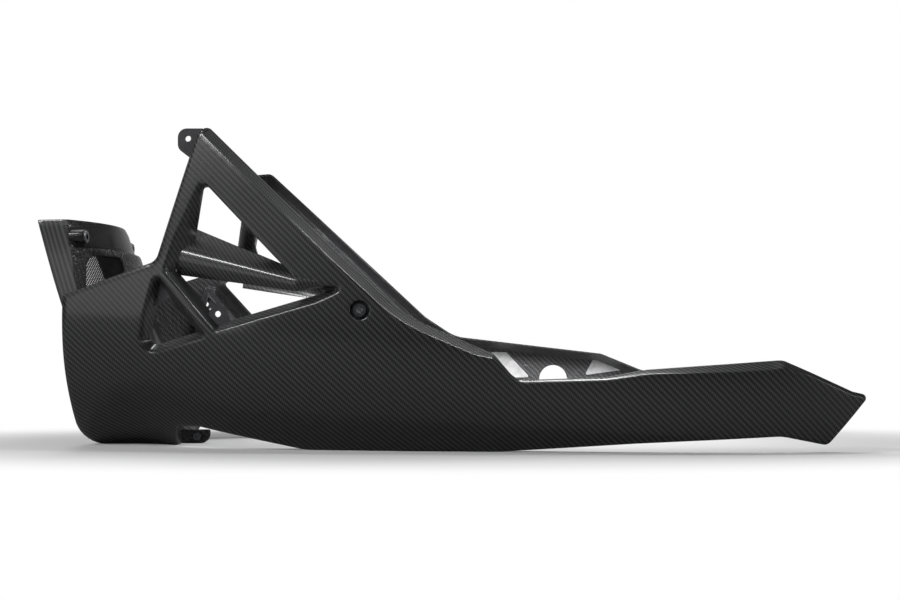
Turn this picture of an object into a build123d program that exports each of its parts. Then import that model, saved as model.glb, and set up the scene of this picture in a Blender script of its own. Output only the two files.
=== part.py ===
"""Motorcycle belly pan: two carbon side panels, a front cover with a grille, and their mounts.

Millimetres. X runs rearwards, Y to the machine's right side, Z up. The origin is the middle
of the footprint, on the floor that the pan stands on.
"""
from build123d import *
from functools import lru_cache
import math
import os

# Laminate
WALL = 2.0                 # carbon laminate
RIM_DEPTH = 18.0           # how far the turned-in rims reach behind the skin
RIM_ROUND = 1.8            # rounding where the skin turns into a rim
BARE_EDGE = 5.0            # how far the hollow runs past an edge that has no rim
CLEAR = 0.3                # gap between bonded or seated pieces

# Hull of one half, at stations along X: (x, half width at the belt, tuck under it, belt height)
STATIONS = (
    (-460, 86, 74, 162),
    (-400, 97, 84, 158),
    (-330, 112, 94, 153),
    (-262, 126, 64, 148),
    (-190, 138, 52, 141),
    (-80, 152, 46, 130),
    (60, 160, 40, 115),
    (210, 160, 28, 98),
    (352, 156, 20, 86),
    (460, 137, 12, 80),
)
TUCK_POWER = 2.2           # how late the skin turns in below the belt
LEAN = 26.0                # inward lean over LEAN_RISE above the belt
LEAN_RISE = 200.0
HULL_LEVELS = (-6, 20, 55, 100, 160, 250, 365)

# Side view of the panels, corners as (x, z, corner radius)
NOSE = (
    (-306, 0, 3),
    (-420, 0, 24),
    (-414, 168, 4),
)
LEFT_HEAD = (
    (-308, 203.5, 14),
    (-267, 344, 6),
    (-256, 352, 4),
)
RIGHT_HEAD = (
    (-270, 216, 10),
    (-252, 325, 6),
    (-223, 328, 10),
)
LEFT_BACK = (
    (-112, 213, 90),
    (-38, 145, 170),
    (56, 104, 6),
    (79, 77, 20),
    (172, 80, 90),
    (214, 88, 90),
    (357, 98, 16),
)
RIGHT_BACK = (
    (-34, 151, 60),
    (4, 126, 50),
    (192, 104, 14),
    (246, 82, 24),
    (357, 90, 16),
)
TAIL = (
    (432, 65, 14),
    (450, 61, 4),
    (407, 8, 8),
    (357, 18, 50),
    (205, 10, 300),
    (60, 0, 200),
    (-150, 0, 80),
    (-267, 24, 5),
    (-298, 24, 6),
)
LEFT_OUTLINE = NOSE + LEFT_HEAD + LEFT_BACK + TAIL
RIGHT_OUTLINE = NOSE + RIGHT_HEAD + RIGHT_BACK + TAIL

# Openings through each panel, corners as (x, z, corner radius)
SIDE_OUTLET = (
    (-152, 170, 5),
    (-128, 175, 30),
    (-97, 175, 3),
    (-130, 160, 60),
    (-239, 129, 5),
    (-294, 192, 6),
)
LEFT_OPENING = SIDE_OUTLET + (
    (-283, 226, 40),
    (-256, 289, 5),
    (-158, 189, 6),
)
RIGHT_OPENING = SIDE_OUTLET + (
    (-254, 205, 12),
    (-236, 286, 5),
    (-158, 199, 6),
)
LOWER_OPENING = (
    (-306, 190, 4),
    (-250, 124, 4),
    (-331, 101, 14),
)

# Vane across the upper opening: height, and depth behind the skin, of its three long edges
VANE_FRONT_X = -287.0
VANE_REAR_X = -150.0
RIGHT_VANE_X = -259.0      # the right strut stands further back
VANE_TOP = (242, 31, 187, 3)       # z and depth in front, z and depth at the rear
VANE_RIDGE = (214, 12, 182, 1)
VANE_FOOT = (190, 19, 170, 2)

# Brackets and keel flanges bonded to the panels
TAB_WALL = 3.0
BOLT_R = 3.3               # clearance hole for a 6 mm bolt
TOP_TAB_R = 11.0
TOP_TAB_DROP = 5.0         # how far the hole lies below the corner of the strut's head
TOP_TAB_SET = 8.0          # how far the tab lies behind the skin
INNER_TAB_R = 9.0
INNER_TAB_RISE = 18.0      # how far the hole lies above the opening's lowest corner
INNER_TAB_X = SIDE_OUTLET[4][0]
INNER_TAB_Z = SIDE_OUTLET[4][1] + INNER_TAB_RISE
INNER_TAB_SET = 12.0
WEB_HOLE_R = 2.7
WEB_FALL = 24.0            # how far the hole lies below the opening's top corner
WEB_X = LOWER_OPENING[0][0]
WEB_Z = LOWER_OPENING[0][1] - WEB_FALL
WEB_SET = 12.0
WEB_DROP = 15.0            # how far the web reaches below its hole
KEEL_HEIGHT = 16.0         # upright joint flange along the keel
KEEL_BOLT_R = 2.6
KEEL_BOLT_X = (-386, -338, -290)
KEEL_FRONT_X = -402.0
KEEL_REAR_X = -276.0       # the flange ends in a tongue that shows behind the nose
RIGHT_HOLE_R = 18.0        # round cut-out in the right panel's raised wall
RIGHT_HOLE_X = 131.0
RIGHT_HOLE_Z = 71.0

# Side mount: dished seat, rubber grommet and flanged sleeve
MOUNT_X = -84.0
MOUNT_Z = 150.0
DISH_R = 10.0
DISH_DEPTH = 5.0
SEAT_R = 6.5               # hole in the dish's floor
GROMMET_LIP_R = 8.6
GROMMET_LIP = 1.6
GROMMET_BORE_R = 4.8
SLEEVE_BORE_R = 3.2
SLEEVE_FLANGE_R = 6.6
SLEEVE_FLANGE = 1.2

# Front cover: a round trough, open to the front, that leans forwards between the panels
COVER_TOP = 252.0
COVER_FOOT = 24.0
COVER_LEAN = 0.336         # forward lean, per unit of height
COVER_FRONT_X = -447.0     # front edge at the top
TROUGH_R = 125.0           # trough round an upright line, leaning with the cover
TROUGH_REAR_X = -380.0     # back of the trough at the top
BULGE_R = 118.0            # lower pocket behind the trough
BULGE_REAR_X = -374.0
BULGE_TOP = 222.0
BULGE_FOOT = 152.0
WINDOW = (                 # side view of the mesh windows in the pocket's cheeks
    (-387, 170, 8),
    (-391, 213, 16),
    (-369, 213, 5),
    (-357, 170, 8),
)
MESH_WALL = 1.0
MESH_LAP = 3.0
MESH_HOLE = 5.0
MESH_PITCH = 9.0
MESH_ROWS = 1              # rows and columns of holes on each side of the middle one

# Cover bosses: bonded to the trough's shoulders, facing rearwards, each with a sleeve
BOSS_R = 8.0
BOSS_LENGTH = 10.0         # from the trough's wall to the rear end
BOSS_Y = 80.0
BOSS_Z = 233.0
BOSS_BORE_R = 4.8
BOSS_BORE = 5.0            # depth of the bore
BOSS_SLEEVE = 4.6          # length of the sleeve in the boss

# Keel fasteners
SCREW_R = 2.5
SCREW_HEAD_R = 4.5
SCREW_HEAD = 4.0
NUT_FLATS = 8.0
NUT_HEIGHT = 4.0
SCREW_TAIL = 1.5

# Heat-shield foil inside the right panel, corners as (x, z)
FOIL = 0.4
FOIL_FRONT = ((48, 106), (70, 106), (101, 73), (80, 73))
FOIL_REAR = ((184, 98), (200, 96), (232, 84), (172, 76))

REACH = 400.0              # longer than anything that it cuts
PAST_MIDDLE = 40.0         # how far a half hull runs past the middle plane before it is trimmed


def half_width(station, z):
    """Half width of the hull at a station: full at the belt, tucked below it, leaning above."""
    _, belt, tuck, level = station
    if z < level:
        return belt - tuck * ((level - z) / level) ** TUCK_POWER
    return belt - LEAN * ((z - level) / LEAN_RISE) ** 1.5


def skin_at(x, z):
    """Half width of the skin between stations, by straight interpolation."""
    for fore, aft in zip(STATIONS, STATIONS[1:]):
        if x <= aft[0]:
            share = (x - fore[0]) / (aft[0] - fore[0])
            return (1 - share) * half_width(fore, z) + share * half_width(aft, z)
    return half_width(STATIONS[-1], z)


def section(station, inset):
    """Face of the left half of the hull at a station, with the skin moved in along its normal."""
    x = station[0]
    low, high = HULL_LEVELS[0], HULL_LEVELS[-1]
    skin = []
    for z in HULL_LEVELS:
        slope = half_width(station, z + 1) - half_width(station, z)
        run = math.hypot(1, slope)
        y = max(half_width(station, z) - inset / run, WALL)
        skin.append(Vector(x, -y, z + inset * slope / run))
    floor = Vector(x, skin[0].Y, low - RIM_DEPTH)
    roof = Vector(x, skin[-1].Y, high + RIM_DEPTH)
    keel = Vector(x, PAST_MIDDLE, low - RIM_DEPTH)
    crown = Vector(x, PAST_MIDDLE, high + RIM_DEPTH)
    lines = [
        Edge.make_line(floor, skin[0]),
        Edge.make_spline(skin),
        Edge.make_line(skin[-1], roof),
        Edge.make_line(roof, crown),
        Edge.make_line(crown, keel),
        Edge.make_line(keel, floor),
    ]
    return Face(Wire(lines))


@lru_cache
def hull(inset):
    """Left half of the hull as a solid from the skin to just past the middle plane."""
    return loft([section(station, inset) for station in STATIONS])


def both(left):
    """A left-hand shape and its mirror image on the right, as one."""
    return left + mirror(left, about=Plane.XZ)


def neighbours(corners):
    """Each corner of a closed outline with the one before and the one after it."""
    return zip(corners[-1:] + corners[:-1], corners, corners[1:] + corners[:1])


def grown(corners, growths):
    """Corners of a clockwise outline with each side, from its corner on, moved outwards."""
    moved = []
    sides = zip(neighbours(corners), growths[-1:] + growths[:-1], growths)
    for (before, here, after), first, second in sides:
        come = (Vector(*here[:2]) - Vector(*before[:2])).normalized()
        leave = (Vector(*after[:2]) - Vector(*here[:2])).normalized()
        out = Vector(-come.Y, come.X)
        off = Vector(-leave.Y, leave.X)
        lap = out.dot(off)
        shift = out * (first - second * lap) + off * (second - first * lap)
        shift = shift * (1 / (1 - lap * lap))
        bend = come.X * leave.Y - come.Y * leave.X
        growth = min(first, second, key=abs)
        radius = here[2] + (growth if bend < 0 else -growth)
        moved.append((here[0] + shift.X, here[1] + shift.Y, max(radius, RIM_ROUND / 2)))
    return tuple(moved)


def outline(corners):
    """Closed side-view face of straight runs joined by tangent arcs at (x, z, radius) corners."""
    arcs = []
    for before, here, after in neighbours(corners):
        point = Vector(here[0], 0, here[1])
        back = (Vector(before[0], 0, before[1]) - point).normalized()
        on = (Vector(after[0], 0, after[1]) - point).normalized()
        half = math.acos(back.dot(on)) / 2
        reach = here[2] / math.tan(half)
        middle = (back + on).normalized() * (here[2] / math.sin(half) - here[2])
        arcs.append((point + back * reach, point + middle, point + on * reach))
    edges = []
    for this, following in zip(arcs, arcs[1:] + arcs[:1]):
        edges.append(Edge.make_three_point_arc(*this))
        edges.append(Edge.make_line(this[2], following[0]))
    return Face(Wire(edges))


def through(face):
    """Prism of a side-view face from the middle plane out past the left skin."""
    return extrude(face, amount=REACH, dir=(0, -1, 0))


def pin(x, z, radius, inner, outer):
    """Cylinder along Y on the left, between two distances from the middle plane."""
    return Pos(x, -(inner + outer) / 2, z) * Rot(90, 0, 0) * Cylinder(radius, outer - inner)


def plate(corners, outer, thickness):
    """Side-view outline as a plate whose outer side lies at a distance from the middle plane."""
    return Pos(0, thickness - outer, 0) * extrude(outline(corners), amount=thickness, dir=(0, -1, 0))


def top_tab(head):
    """Place of the bolt hole in front of a strut's head: x, z and the tab's outer side."""
    x, z = head[1][0] - TOP_TAB_R, head[1][1] - TOP_TAB_DROP
    return x, z, skin_at(x, z) - TOP_TAB_SET


def top_bracket(head, silhouette):
    """Rounded bolt tab that butts against the front of a strut's head, on the left."""
    x, z, outer = top_tab(head)
    fore, low, high = x - TOP_TAB_R, z - TOP_TAB_R, z + TOP_TAB_R
    corners = (
        (fore, low, 0.9 * TOP_TAB_R),
        (fore, high, 0.9 * TOP_TAB_R),
        (x + 1.6 * TOP_TAB_R, high, 0.2 * TOP_TAB_R),
        (x + 1.6 * TOP_TAB_R, low, 0.2 * TOP_TAB_R),
        (x + 0.3 * TOP_TAB_R, low - TOP_TAB_R, 0.2 * TOP_TAB_R),
    )
    tab = plate(corners, outer, TAB_WALL) - through(outline(silhouette))
    return tab - pin(x, z, BOLT_R, 0, REACH)


def inner_bracket():
    """Rounded bolt tab that stands on the left upper opening's lower rim."""
    outer = skin_at(INNER_TAB_X, INNER_TAB_Z) - INNER_TAB_SET
    foot = SIDE_OUTLET[4][1] - INNER_TAB_R
    corners = (
        (INNER_TAB_X - INNER_TAB_R, foot, RIM_ROUND / 2),
        (INNER_TAB_X - INNER_TAB_R, INNER_TAB_Z + INNER_TAB_R, 0.95 * INNER_TAB_R),
        (INNER_TAB_X + INNER_TAB_R, INNER_TAB_Z + INNER_TAB_R, 0.95 * INNER_TAB_R),
        (INNER_TAB_X + 2 * INNER_TAB_R, foot, RIM_ROUND / 2),
    )
    tab = plate(corners, outer, TAB_WALL) & through(outline(LEFT_OPENING))
    return tab - pin(INNER_TAB_X, INNER_TAB_Z, BOLT_R, 0, REACH)


def web_bracket():
    """Three-cornered web across the top of the left lower opening, with a small hole."""
    outer = skin_at(WEB_X, WEB_Z) - WEB_SET
    corners = (
        (WEB_X - WEB_DROP, WEB_Z - WEB_DROP, RIM_ROUND),
        (WEB_X - WEB_DROP, WEB_Z + 3 * WEB_DROP, RIM_ROUND),
        (WEB_X + 3 * WEB_DROP, WEB_Z + 3 * WEB_DROP, RIM_ROUND),
        (WEB_X + 3 * WEB_DROP, WEB_Z + WEB_DROP, RIM_ROUND),
    )
    tab = plate(corners, outer, TAB_WALL) & through(outline(LOWER_OPENING))
    return tab - pin(WEB_X, WEB_Z, WEB_HOLE_R, 0, REACH)


def vane_section(share, x):
    """Open ridge of the vane at a share of its length, as a closed thin face."""
    outer = []
    for edge in (VANE_TOP, VANE_RIDGE, VANE_FOOT):
        z = edge[0] + share * (edge[2] - edge[0])
        depth = edge[1] + share * (edge[3] - edge[1])
        outer.append(Vector(x, depth - skin_at(x, z), z))
    inner = [point + Vector(0, 1.4 * WALL, 0) for point in reversed(outer)]
    return Face(Wire.make_polygon(outer + inner, close=True))


def vane(front):
    """Air vane from behind the strut to the beam, ridged along its length."""
    share = (front - VANE_FRONT_X) / (VANE_REAR_X - VANE_FRONT_X)
    return loft([vane_section(share, front), vane_section(1, VANE_REAR_X)], ruled=True)


def nose_floor(block):
    """Floor of the left nose, from the skin to the keel's flange."""
    middle = (KEEL_FRONT_X + NOSE[0][0]) / 2
    return block & Pos(middle, -WALL - REACH / 2, WALL / 2) * Box(NOSE[0][0] - KEEL_FRONT_X, REACH, WALL)


def keel_flange():
    """Upright flange along the keel that meets the other half, with a tongue behind the nose."""
    corners = (
        (KEEL_FRONT_X, 0, RIM_ROUND),
        (KEEL_FRONT_X, KEEL_HEIGHT, RIM_ROUND),
        (KEEL_REAR_X, KEEL_HEIGHT, RIM_ROUND),
        (KEEL_REAR_X, 0, 0.7 * KEEL_HEIGHT),
    )
    flange = plate(corners, WALL, WALL)
    for x in KEEL_BOLT_X:
        flange -= pin(x, KEEL_HEIGHT / 2, KEEL_BOLT_R, 0, REACH)
    return flange


def mount_floor():
    """Distance of the dish's floor, its outer face, from the middle plane."""
    return skin_at(MOUNT_X, MOUNT_Z) - DISH_DEPTH


def side_panel(corners, upper, vane_front):
    """Left-hand panel, rimmed round its outline and its two openings, with a vane."""
    openings = (upper, LOWER_OPENING)
    rims = [-WALL] * len(corners)
    rims[1] = rims[2] = BARE_EDGE
    block = hull(0) & through(outline(corners))
    hollow = hull(WALL) & through(outline(grown(corners, rims)))
    for opening in openings:
        block -= through(outline(opening))
        hollow -= through(outline(grown(opening, [WALL] * len(opening))))
    skin = block.faces().filter_by(GeomType.BSPLINE).sort_by(SortBy.AREA)[-1]
    block = fillet(skin.edges(), RIM_ROUND)
    panel = block - hollow - hull(RIM_DEPTH) - Box(3 * REACH, 2 * WALL, 2 * RIM_DEPTH)
    floor = mount_floor()
    cup = pin(MOUNT_X, MOUNT_Z, DISH_R + WALL, floor - WALL, floor + 4 * DISH_DEPTH) & block
    panel += [cup, nose_floor(block), vane(vane_front)]
    panel -= pin(MOUNT_X, MOUNT_Z, DISH_R, floor, REACH)
    panel -= pin(MOUNT_X, MOUNT_Z, SEAT_R, 0, REACH)
    return panel


def grommet():
    """Rubber ring of the left side mount, lipped on both sides of the dish's floor."""
    floor = mount_floor()
    ring = pin(MOUNT_X, MOUNT_Z, SEAT_R - CLEAR, floor - WALL, floor)
    ring += pin(MOUNT_X, MOUNT_Z, GROMMET_LIP_R, floor, floor + GROMMET_LIP)
    ring += pin(MOUNT_X, MOUNT_Z, GROMMET_LIP_R, floor - WALL - GROMMET_LIP, floor - WALL)
    return ring - pin(MOUNT_X, MOUNT_Z, GROMMET_BORE_R, 0, REACH)


def mount_sleeve():
    """Flanged metal sleeve in the left grommet."""
    floor = mount_floor()
    seat = floor + GROMMET_LIP
    tube = pin(MOUNT_X, MOUNT_Z, GROMMET_BORE_R - CLEAR, floor - WALL - GROMMET_LIP, seat)
    tube += pin(MOUNT_X, MOUNT_Z, SLEEVE_FLANGE_R, seat, seat + SLEEVE_FLANGE)
    return tube - pin(MOUNT_X, MOUNT_Z, SLEEVE_BORE_R, 0, REACH)


def leaning(radius, rear, low, high):
    """Round column that leans as the cover does, with its back at a given X at the cover's top."""
    foot = rear - radius + COVER_LEAN * (COVER_TOP - low)
    disc = Pos(foot, 0, low) * Circle(radius)
    lean = Vector(-COVER_LEAN, 0, 1)
    return extrude(disc, amount=(high - low) * lean.length, dir=lean)


def behind_front_edge():
    """The left half of everything behind the cover's leaning front edge."""
    drop = COVER_LEAN * REACH
    corners = (
        (COVER_FRONT_X + COVER_LEAN * COVER_TOP, 0, RIM_ROUND),
        (COVER_FRONT_X + COVER_LEAN * COVER_TOP - drop, REACH, RIM_ROUND),
        (0, REACH, RIM_ROUND),
        (0, 0, RIM_ROUND),
    )
    return through(outline(corners))


def boss_rear():
    """X of the rear end of each boss, a boss's length behind the trough's wall."""
    axis = TROUGH_REAR_X - TROUGH_R + COVER_LEAN * (COVER_TOP - BOSS_Z)
    return axis + math.sqrt(TROUGH_R ** 2 - BOSS_Y ** 2) + BOSS_LENGTH


def rod(radius, depth, proud):
    """Cylinder along the left boss, from a depth inside its rear end to a height above it."""
    middle = boss_rear() + (proud - depth) / 2
    return Pos(middle, -BOSS_Y, BOSS_Z) * Rot(0, 90, 0) * Cylinder(radius, depth + proud)


def front_cover():
    """Trough between the panels with a lower pocket and a window in each of its cheeks."""
    body = leaning(TROUGH_R, TROUGH_REAR_X, COVER_FOOT, COVER_TOP)
    body += leaning(BULGE_R, BULGE_REAR_X, BULGE_FOOT, BULGE_TOP)
    body = body & hull(WALL + CLEAR) & behind_front_edge()
    hollow = leaning(TROUGH_R - WALL, TROUGH_REAR_X - WALL, COVER_FOOT - WALL, COVER_TOP + WALL)
    hollow += leaning(BULGE_R - WALL, BULGE_REAR_X - WALL, BULGE_FOOT + WALL, BULGE_TOP - WALL)
    body -= hollow & hull(2 * WALL + CLEAR)
    body -= through(outline(WINDOW))
    return both(body)


def cover_boss():
    """Bored boss that stands on the outside of the trough's left shoulder."""
    wall = leaning(TROUGH_R + CLEAR, TROUGH_REAR_X + CLEAR, COVER_FOOT, COVER_TOP)
    wall += leaning(BULGE_R + CLEAR, BULGE_REAR_X + CLEAR, BULGE_FOOT, BULGE_TOP + CLEAR)
    return rod(BOSS_R, 3 * BOSS_LENGTH, 0) - wall - rod(BOSS_BORE_R, BOSS_BORE, 0)


def cover_mesh():
    """Perforated sheet against the inside of the pocket's left cheek, over its window."""
    gap = WALL + CLEAR
    sheet = leaning(BULGE_R - gap, BULGE_REAR_X - gap, BULGE_FOOT + gap, BULGE_TOP - gap)
    gap += MESH_WALL
    sheet -= leaning(BULGE_R - gap, BULGE_REAR_X - gap, BULGE_FOOT, BULGE_TOP)
    sheet = sheet & through(outline(grown(WINDOW, [MESH_LAP] * len(WINDOW))))
    diamond = Plane.XZ * Rectangle(MESH_HOLE, MESH_HOLE, rotation=45)
    hole = extrude(diamond, amount=REACH, dir=(0, -1, 0))
    middle = (WINDOW[1][0] + WINDOW[2][0]) / 2, (WINDOW[0][1] + WINDOW[1][1]) / 2
    places = []
    for row in range(-MESH_ROWS, MESH_ROWS + 1):
        for column in range(-MESH_ROWS, MESH_ROWS + 1):
            slant = MESH_PITCH * (column + COVER_LEAN * row)
            places.append(Pos(middle[0] + slant, 0, middle[1] - MESH_PITCH * row))
    return sheet - [place * hole for place in places]


def cover_sleeve():
    """Flanged metal sleeve in the cover's left boss."""
    tube = rod(BOSS_BORE_R - CLEAR, BOSS_SLEEVE, 0) + rod(SLEEVE_FLANGE_R, 0, SLEEVE_FLANGE)
    return tube - rod(SLEEVE_BORE_R, BOSS_SLEEVE, SLEEVE_FLANGE)


def keel_screws():
    """Socket-head screws through the keel's two flanges, heads on the left."""
    screws = []
    for x in KEEL_BOLT_X:
        level = KEEL_HEIGHT / 2
        head = pin(x, level, SCREW_HEAD_R, WALL, WALL + SCREW_HEAD)
        shank = pin(x, level, SCREW_R, -WALL - NUT_HEIGHT - SCREW_TAIL, WALL)
        key = Pos(x, -WALL - SCREW_HEAD, level) * Rot(90, 0, 0) * RegularPolygon(0.5 * SCREW_HEAD_R, 6)
        screws.append(head + shank - extrude(key, amount=SCREW_HEAD / 2, dir=(0, 1, 0)))
    return Compound(children=screws)


def keel_nuts():
    """Hexagon nuts on the keel screws, on the right."""
    nuts = []
    for x in KEEL_BOLT_X:
        level = KEEL_HEIGHT / 2
        flats = Pos(x, WALL, level) * Rot(90, 0, 0) * RegularPolygon(NUT_FLATS / 2, 6, major_radius=False)
        nut = extrude(flats, amount=NUT_HEIGHT, dir=(0, 1, 0))
        nuts.append(nut - pin(x, level, SCREW_R + CLEAR, -WALL - NUT_HEIGHT, 0))
    return Compound(children=nuts)


def foil(corners):
    """Patch of foil on the inside of the right panel's raised wall."""
    patch = hull(WALL + CLEAR) - hull(WALL + CLEAR + FOIL)
    rounded = tuple((x, z, RIM_ROUND) for x, z in corners)
    return mirror(patch & through(outline(rounded)), about=Plane.XZ)


def right_panel():
    """Right-hand panel: taller behind the beam, with a round cut-out."""
    panel = side_panel(RIGHT_OUTLINE, RIGHT_OPENING, RIGHT_VANE_X)
    panel -= pin(RIGHT_HOLE_X, RIGHT_HOLE_Z, RIGHT_HOLE_R, 0, REACH)
    return mirror(panel, about=Plane.XZ)


def nodes():
    """Every piece of the pan by name."""
    pieces = {
        "left_side_panel": side_panel(LEFT_OUTLINE, LEFT_OPENING, VANE_FRONT_X),
        "right_side_panel": right_panel(),
        "left_top_bracket": top_bracket(LEFT_HEAD, LEFT_OUTLINE),
        "right_top_bracket": mirror(top_bracket(RIGHT_HEAD, RIGHT_OUTLINE), about=Plane.XZ),
        "front_cover": front_cover(),
        "keel_screws": keel_screws(),
        "keel_nuts": keel_nuts(),
        "front_heat_foil": foil(FOIL_FRONT),
        "rear_heat_foil": foil(FOIL_REAR),
    }
    fittings = {
        "inner_bracket": inner_bracket(),
        "web_bracket": web_bracket(),
        "keel_flange": keel_flange(),
        "mount_grommet": grommet(),
        "mount_sleeve": mount_sleeve(),
        "cover_boss": cover_boss(),
        "cover_mesh": cover_mesh(),
        "cover_sleeve": cover_sleeve(),
    }
    for name, piece in fittings.items():
        pieces["left_" + name] = piece
        pieces["right_" + name] = mirror(piece, about=Plane.XZ)
    return pieces


if __name__ == "__main__":
    os.makedirs("parts", exist_ok=True)
    for name, piece in nodes().items():
        export_step(piece, "parts/" + name + ".step")
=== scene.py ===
"""Motorcycle belly pan: carbon twill side panels, front cover with wire grilles, brackets and mounts."""
import math

import bpy
import numpy as np
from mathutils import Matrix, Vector
from mathutils.geometry import delaunay_2d_cdt


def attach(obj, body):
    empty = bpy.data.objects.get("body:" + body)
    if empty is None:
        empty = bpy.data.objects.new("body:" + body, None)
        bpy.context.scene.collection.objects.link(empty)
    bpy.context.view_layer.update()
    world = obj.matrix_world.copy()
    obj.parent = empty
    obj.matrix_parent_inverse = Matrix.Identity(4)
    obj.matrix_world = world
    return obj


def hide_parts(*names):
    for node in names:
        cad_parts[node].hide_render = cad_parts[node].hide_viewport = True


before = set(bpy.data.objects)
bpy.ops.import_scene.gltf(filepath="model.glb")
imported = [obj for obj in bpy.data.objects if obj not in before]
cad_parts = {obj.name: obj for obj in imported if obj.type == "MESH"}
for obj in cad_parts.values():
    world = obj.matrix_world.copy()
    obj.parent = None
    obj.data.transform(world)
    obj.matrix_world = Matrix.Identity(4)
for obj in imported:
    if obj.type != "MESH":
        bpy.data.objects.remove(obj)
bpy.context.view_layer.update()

MM = 0.001                     # shapes are worked out in millimetres

# Hull of one half at stations along X: x, half width at the belt, tuck under it, belt height
STATIONS = np.array((
    (-460, 86, 74, 162), (-400, 97, 84, 158), (-330, 112, 94, 153), (-262, 126, 64, 148),
    (-190, 138, 52, 141), (-80, 152, 46, 130), (60, 160, 40, 115), (210, 160, 28, 98),
    (352, 156, 20, 86), (460, 137, 12, 80)), float)
LEVELS = np.array((-6, 20, 55, 100, 160, 250, 365), float)
TUCK_POWER = 2.2               # how late the skin turns in below the belt
LEAN = 26.0                    # inward lean over LEAN_RISE above the belt
LEAN_RISE = 200.0
LEAN_POWER = 1.5
WALL = 2.0                     # laminate
COVER_SET = 2.3                # how far inside the skin the cover lies
CLOTH_LEVEL = 130.0            # height that the cloth is laid from

# Side view of the panels and their openings, corners as x, z, radius, clockwise
NOSE = ((-306, 0, 3), (-420, 0, 24), (-414, 168, 4))
LEFT_HEAD = ((-308, 203.5, 14), (-267, 344, 6), (-256, 352, 4))
RIGHT_HEAD = ((-270, 216, 10), (-252, 325, 6), (-223, 328, 10))
LEFT_BACK = ((-112, 213, 90), (-38, 145, 170), (56, 104, 6), (79, 77, 20), (172, 80, 90),
             (214, 88, 90), (357, 98, 16))
RIGHT_BACK = ((-34, 151, 60), (4, 126, 50), (192, 104, 14), (246, 82, 24), (357, 90, 16))
TAIL = ((432, 65, 14), (450, 61, 4), (407, 8, 8), (357, 18, 50), (205, 10, 300), (60, 0, 200),
        (-150, 0, 80), (-267, 24, 5), (-298, 24, 6))
SIDE_OUTLET = ((-152, 170, 5), (-128, 175, 30), (-97, 175, 3), (-130, 160, 60), (-239, 129, 5),
               (-294, 192, 6))
LEFT_OPENING = SIDE_OUTLET + ((-283, 226, 40), (-256, 289, 5), (-158, 189, 6))
RIGHT_OPENING = SIDE_OUTLET + ((-254, 205, 12), (-236, 286, 5), (-158, 199, 6))
LOWER_OPENING = ((-306, 190, 4), (-250, 124, 4), (-331, 101, 14))
DISH = (-84, 150, 10.0)        # side mount's dish: x, z, radius
CUT_OUT = (131, 71, 18.0)      # round cut-out in the right panel

# Edge profiles as rows of (distance into the panel from its edge, depth behind the skin),
# from the skin round the edge, down the rim, and back to the inner face
RIM = ((4.0, 0), (2.2, 0.05), (1.2, 0.3), (0.5, 0.85), (0.12, 1.6), (0, 2.6), (0, 8), (0, 13),
       (0, 17.4), (0.6, 18), (2.0, 17.4), (2.0, 6.0), (2.6, 3.2), (4.0, 2.0))
SHOULDER = ((10.5, 0), (9.6, 0.1), (8.8, 0.45), (8.2, 1.1), (2.0, 9.3), (1.1, 10.3), (0.4, 11.3),
            (0, 12.6), (0, 17.4), (0.6, 18), (2.0, 17.4), (3.4, 13.0), (8.0, 5.0), (10.5, 2.0))
SILL = ((4.6, 0), (4.0, 0.08), (3.5, 0.4), (2.2, 1.8), (0.9, 3.29), (0.45, 3.85), (0.12, 4.6),
        (0, 5.6), (0, 17.4), (0.6, 18), (2.0, 17.4), (2.2, 10.0), (2.6, 5.0), (4.6, 2.0))
BARE = ((4.0, 0), (2.2, 0), (1.2, 0.05), (0.6, 0.15), (0.3, 0.3), (0.12, 0.5), (0, 0.8), (0, 1.0),
        (0, 1.2), (0.12, 1.5), (0.3, 1.7), (0.6, 1.85), (1.5, 2.0), (4.0, 2.0))
SOFT = ((6.0, 0), (4.8, 0.08), (3.6, 0.33), (2.4, 0.75), (1.2, 1.2), (0.4, 1.5), (0.1, 1.7),
        (0, 1.85), (0, 1.9), (0.05, 1.97), (0.2, 2.0), (0.6, 2.0), (2.0, 2.0), (6.0, 2.0))
BEVEL = ((8.0, 0), (7.0, 0.06), (6.2, 0.2), (3.6, 0.72), (1.4, 1.16), (0.6, 1.45), (0.15, 1.8),
         (0, 2.2), (0, 2.5), (0.12, 2.8), (0.3, 3.0), (0.6, 3.1), (3.0, 2.6), (8.0, 2.0))
STRUT = ((6.5, 0), (5.2, 0.12), (3.6, 0.7), (2.2, 1.7), (1.0, 3.2), (0.3, 5.0), (0, 7.5), (0, 13),
         (0, 17.4), (0.6, 18), (2.0, 17.4), (2.2, 10.0), (3.0, 6.0), (6.5, 2.0))
INWARD = ((4.5, 0), (3.0, 0.12), (1.8, 0.6), (0.8, 1.5), (0.1, 2.8), (-0.8, 4.4), (-3.0, 9),
          (-5.2, 13.5), (-7.2, 17.4), (-6.9, 18), (-5.2, 17.6), (-0.4, 8.0), (2.0, 4.4), (4.5, 2.0))
DISH_PROFILE = ((2.4, 0), (1.6, 0.05), (1.0, 0.25), (0.5, 0.6), (0.15, 1.1), (0, 2), (0, 3.4),
                (-0.2, 4.6), (-0.6, 5.0), (-3.5, 5.0), (-3.5, 7.0), (1.4, 7.0), (2.0, 4.0), (2.4, 2.0))
BARE_HOLE = tuple((into / 4, depth) for into, depth in BARE)
EDGE_ROW = 8                   # row of a profile that lies on the outermost edge
INNER_ROW = 9                  # first row of a profile that belongs to the inner side

# Share of the narrow sill in the shoulder, by x: along the left panel's saddle and at its tail's end
SILL_X = (40, 62, 170, 320, 345, 385)
LEFT_SILL = (0, 1, 1, 0, 0, 1)
NO_SILL = (0, 0, 0, 0, 0, 0)

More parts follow.
